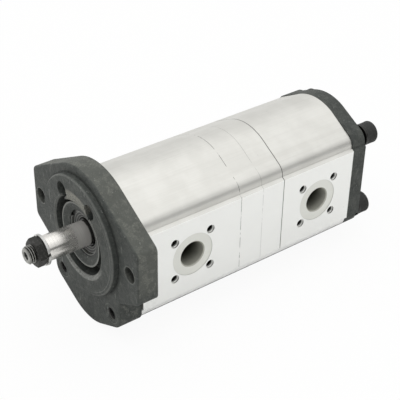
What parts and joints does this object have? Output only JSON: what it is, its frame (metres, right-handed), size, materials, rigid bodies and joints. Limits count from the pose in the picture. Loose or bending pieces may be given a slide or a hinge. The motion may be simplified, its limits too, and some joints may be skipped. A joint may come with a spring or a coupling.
{
  "type": "tandem gear pump",
  "caption": "Tandem hydraulic gear pump with keyed shaft, two-bolt pilot flange and side ports on both stages.",
  "frame": {"origin": "middle of the pilot on the mounting face of the flange", "axes": "+Y along the shafts from the flange to the rear cover, +X towards the suction ports, +Z from the driven gears to the drive gears"},
  "size_m": [0.124, 0.2637, 0.1154],
  "materials": {
    "cast_iron": "rough cast, painted dark grey-green",
    "body_aluminium": "extruded and machined, fine brushed lines",
    "tie_bolt_steel": "black oxide",
    "washer_steel": "bright zinc",
    "shaft_steel": "ground and polished",
    "nut_steel": "dark phosphate",
    "gear_steel": "ground gear steel",
    "block_alloy": "machined bearing alloy",
    "liner_bronze": "plain bearing bronze",
    "seal_rubber": "nitrile rubber",
    "strip_plastic": "pale backing plastic",
    "spring_steel": "dark spring steel"
  },
  "bodies": {
    "housing": {"front_cover": "cast_iron", "rear_cover": "cast_iron", "front_body": "body_aluminium", "rear_body": "body_aluminium", "front_stage_end_plate": "body_aluminium", "rear_stage_front_plate": "body_aluminium", "tie_bolts": "tie_bolt_steel", "tie_bolt_washers": "washer_steel", "shaft_seal": "seal_rubber", "seal_circlip": "spring_steel", "front_cover_seal": "seal_rubber", "front_end_plate_seal": "seal_rubber", "plate_seal_ring": "seal_rubber", "rear_front_plate_seal": "seal_rubber", "rear_cover_seal": "seal_rubber", "front_cover_dowels": "gear_steel", "front_end_plate_dowels": "gear_steel", "plate_joint_dowels": "gear_steel", "rear_front_plate_dowels": "gear_steel", "rear_cover_dowels": "gear_steel", "front_stage_front_bearing_block": "block_alloy", "front_stage_front_bearing_liners": "liner_bronze", "front_stage_front_pressure_seal": "seal_rubber", "front_stage_front_backup_strip": "strip_plastic", "front_stage_rear_bearing_block": "block_alloy", "front_stage_rear_bearing_liners": "liner_bronze", "front_stage_rear_pressure_seal": "seal_rubber", "front_stage_rear_backup_strip": "strip_plastic", "rear_stage_front_bearing_block": "block_alloy", "rear_stage_front_bearing_liners": "liner_bronze", "rear_stage_front_pressure_seal": "seal_rubber", "rear_stage_front_backup_strip": "strip_plastic", "rear_stage_rear_bearing_block": "block_alloy", "rear_stage_rear_bearing_liners": "liner_bronze", "rear_stage_rear_pressure_seal": "seal_rubber", "rear_stage_rear_backup_strip": "strip_plastic"},
    "drive_line": {"drive_shaft": "shaft_steel", "woodruff_key": "spring_steel", "spring_washer": "washer_steel", "shaft_nut": "nut_steel", "drive_coupling": "gear_steel"},
    "front_driven_gear_body": {"front_driven_gear": "gear_steel"},
    "rear_drive_gear_body": {"rear_drive_gear": "gear_steel"},
    "rear_driven_gear_body": {"rear_driven_gear": "gear_steel"}
  },
  "joints": [
    {"name": "drive_spin", "type": "hinge", "parent": "housing", "child": "drive_line", "pos_m": [0, 0, 0], "axis": [0, 1, 0], "continuous": true},
    {"name": "front_driven_spin", "type": "hinge", "parent": "housing", "child": "front_driven_gear_body", "pos_m": [0, 0.0565, -0.032], "axis": [0, 1, 0], "continuous": true},
    {"name": "rear_drive_spin", "type": "hinge", "parent": "housing", "child": "rear_drive_gear_body", "pos_m": [0, 0.164, 0], "axis": [0, 1, 0], "continuous": true},
    {"name": "rear_driven_spin", "type": "hinge", "parent": "housing", "child": "rear_driven_gear_body", "pos_m": [0, 0.164, -0.032], "axis": [0, 1, 0], "continuous": true}
  ],
  "couplings": [
    {"joint": "front_driven_spin", "follows": "drive_spin", "ratio": -1},
    {"joint": "rear_drive_spin", "follows": "drive_spin", "ratio": 1},
    {"joint": "rear_driven_spin", "follows": "drive_spin", "ratio": -1}
  ]
}
